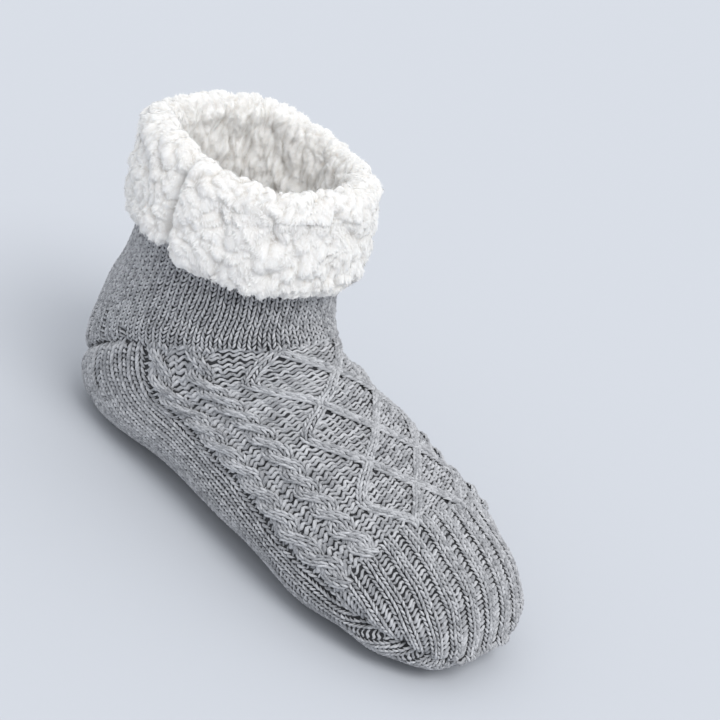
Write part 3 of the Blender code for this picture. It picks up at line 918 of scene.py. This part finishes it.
def sherpa_fuzz(p):
    """Loose fibres over the cuff's pile: thin bent blades that lie down and swirl."""
    picks = np.random.default_rng(9)
    rows, cols = p.shape[:2]
    i, j = picks.integers(1, rows - 2, FIBRES), picks.integers(0, cols, FIBRES)
    down, around = unit(p[i - 1, j] - p[i + 1, j]), unit(p[i, (j + 1) % cols] - p[i, j - 1])
    n = unit(np.cross(around, -down))
    base = p[i, j] + picks.uniform(-0.25, 0.25, (FIBRES, 1)) * (p[i + 1, (j + 1) % cols] - p[i, j])
    turn = 0.7 * np.sin(j * 0.11 + 2 * np.sin(i * 0.13)) + picks.normal(0, 0.55, FIBRES)
    way = unit(down * np.cos(turn)[:, None] + around * np.sin(turn)[:, None])
    length = picks.uniform(0.0010, 0.0021, FIBRES)[:, None]
    out = np.cross(n, way)
    points = []
    for t, width, height in ((0.0, 0.00020, -0.08), (0.5, 0.00017, 0.13), (1.0, 0.00003, 0.16)):
        middle = base + way * length * t + n * length * height
        points += [middle - out * width, middle + out * width]
    v = np.stack(points, axis=1)
    first = (np.arange(FIBRES) * len(points))[:, None]
    f = np.concatenate([first + np.array([0, 1, 3, 2]), first + np.array([2, 3, 5, 4])])
    mesh = bpy.data.meshes.new("sherpa_fuzz")
    mesh.from_pydata(v.reshape(-1, 3).tolist(), [], f.tolist())
    # the fibres' roots take a little painted shade
    fields = {"painted_light": ("FLOAT", np.tile([0.9, 0.9, 1.0, 1.0, 1.0, 1.0], FIBRES)),
              "lock": ("FLOAT_VECTOR", np.zeros((FIBRES * len(points), 3)))}
    return new_object("sherpa_fuzz", mesh, FUZZ, fields)


def sherpa_lining():
    """The lining from inside the cuff down into the foot."""
    first = shaft_station(LINING_DEPTH) * 0.40
    stations = np.concatenate([np.linspace(first, 9.0, 100), np.linspace(9.3, LAST - 1.6, 16)])
    angles = np.linspace(0, 2 * math.pi, LINING_STEPS, endpoint=False)
    a, s = np.meshgrid(angles, stations, indexing="xy")
    along = ring(np.clip(s + 0.03, 0, LAST - 0.3), a) - ring(np.clip(s - 0.03, 0, LAST - 0.36), a)
    n = unit(np.cross(along, ring(s, a + 0.01) - ring(s, a - 0.01)))
    u, v = a / (2 * math.pi) * LINING_GIRTH, (s - first) * 0.012
    high, fields = pile_height(u, v, 77, LINING_GIRTH, 0.0064, 0.0016)
    under = WALL + CLEAR + PILE_IN * (1.45 - 0.80 * smooth(s, 1.0, 6.0))
    p = ring(s, a) - n * (under + high)[..., None]
    p[..., 2] = np.maximum(p[..., 2], 0.006)
    return grid_mesh("sherpa_lining", p, LINING, fields, cap=True)


def turned_hem():
    """The turned knit's edge below the fleece, coloured near-black as painted shade, and its stitches."""
    s = shaft_station(HEM_DEPTH)
    face = TURN_GAP + WALL
    # how far out and up the edge's section runs, from the shaft round to the turned knit's face
    section_round = [(0.0002, 0.006), (0.0004, 0.001), (TURN_GAP, -0.0004), (face - WALL / 2, -0.0010),
                     (face, -0.0003), (face + 0.0002, 0.003)]
    angle = np.linspace(0, 2 * math.pi, HEM_STEPS, endpoint=False)
    rings = np.array([shaft_ring(s, angle, off, rise)[0] for off, rise in section_round])
    # the edge is near-black: a painted shadow line under the turned knit
    edge = grid_mesh("hem", rings, GAP_SHADE, even_tone(rings[..., 0].size))
    pitch = 2 * math.pi / HEM_COLUMNS
    wales = ((np.arange(HEM_COLUMNS) + 0.5) * pitch)[:, None]
    t = np.linspace(0.0, 1.0, 5)
    legs = []
    for row in range(3):
        for hand in (-1.0, 1.0):
            a = wales + hand * pitch * (0.40 - 0.28 * t)
            rise = -0.0011 + 0.0019 * (row + 1.3 * t) + 0.0005 * np.sin(3 * wales)
            tuck = 0.0010 * (1 - t) ** 2 if row == 0 else 0.0
            p, n = shaft_ring(s, a, face - tuck + 0.0005 * np.sin(math.pi * t), rise)
            thick = np.broadcast_to(YARN_RADIUS * np.interp(t, LEG_AT, LEG_RADIUS), a.shape)
            legs.append(yarn(p, n, thick))
    return edge, legs


# The pieces
band, ladders_above = ankle_band()
sides, sole, ladders_below = foot_below()
hem, hem_stitches = turned_hem()
knitted = [
    join("knit_band", band, YARN),
    join("knit_sides", sides, YARN),
    join("knit_sole", sole, YARN),
    join("knit_ladders", ladders_above + ladders_below, YARN),
    join("knit_purl", purl_ground(), YARN),
    join("knit_lattice", lattice(), YARN),
    join("knit_cables", cables(), YARN),
    join("knit_toe", toe_ribs() + toe_seam(), YARN),
    join("knit_hem", hem_stitches, YARN),
    gap_shade_sheet(),
    hem,
]
for piece in knitted:
    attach(piece, "root")
    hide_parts("knit_upper")
for piece in (*sherpa_cuff(), sherpa_lining()):
    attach(piece, "root")
    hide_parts("fleece_cuff")


# Floor, light and camera
def pale_floor():
    """A plain matt floor, wide enough for every view."""
    made = bpy.data.materials.new("floor")
    made.use_nodes = True
    shader = made.node_tree.nodes["Principled BSDF"]
    shader.inputs["Base Color"].default_value = (0.512, 0.534, 0.574, 1)
    shader.inputs["Roughness"].default_value = 0.9
    shader.inputs["Specular IOR Level"].default_value = 0.1
    bpy.ops.mesh.primitive_plane_add(size=40, location=(0, 0, 0))
    floor = bpy.context.object
    floor.name = "floor"
    floor.data.materials.append(made)


def studio_light(toward):
    """A pale room, and one large soft lamp far off in the direction given."""
    world = bpy.data.worlds.new("studio")
    bpy.context.scene.world = world
    world.use_nodes = True
    room = world.node_tree.nodes["Background"]
    room.inputs["Color"].default_value = (0.95, 0.97, 1.0, 1)
    room.inputs["Strength"].default_value = 1.00
    data = bpy.data.lights.new("key", "SUN")
    data.energy = 1.50
    data.angle = math.radians(32.0)
    data.color = (1.0, 0.99, 0.975)
    key = bpy.data.objects.new("key", data)
    bpy.context.collection.objects.link(key)
    key.rotation_mode = "QUATERNION"
    key.rotation_quaternion = (-toward).to_track_quat("-Z", "Y")


AZIMUTH, ELEVATION, ROLL = math.radians(31.0), math.radians(27.0), math.radians(21.0)
DISTANCE, LENS = 0.86, 100.0
AIM = Vector((0.008, 0.013, 0.083))


def view_axes():
    """The directions to the camera, to the right of its picture and up it."""
    level = math.cos(ELEVATION)
    view = Vector((math.sin(AZIMUTH) * level, -math.cos(AZIMUTH) * level, math.sin(ELEVATION)))
    level_right = Vector((0, 0, 1)).cross(view).normalized()
    level_up = view.cross(level_right).normalized()
    right = level_right * math.cos(ROLL) + level_up * math.sin(ROLL)
    return view, right, -level_right * math.sin(ROLL) + level_up * math.cos(ROLL)


def rolled_camera(view, right, up):
    """The photo's angle to the foot, rolled because the foot stands on its sole here."""
    data = bpy.data.cameras.new("camera")
    data.lens = LENS
    data.sensor_width = 36.0
    camera = bpy.data.objects.new("camera", data)
    bpy.context.collection.objects.link(camera)
    camera.location = AIM + view * DISTANCE
    camera.rotation_mode = "QUATERNION"
    camera.rotation_quaternion = Matrix((right, up, view)).transposed().to_quaternion()
    bpy.context.scene.camera = camera


VIEW, RIGHT, UP = view_axes()
pale_floor()
studio_light((VIEW * 0.85 + RIGHT * 0.55 + UP * 0.45).normalized())
rolled_camera(VIEW, RIGHT, UP)
bpy.context.scene.view_settings.view_transform = "Standard"
bpy.context.scene.view_settings.look = "None"
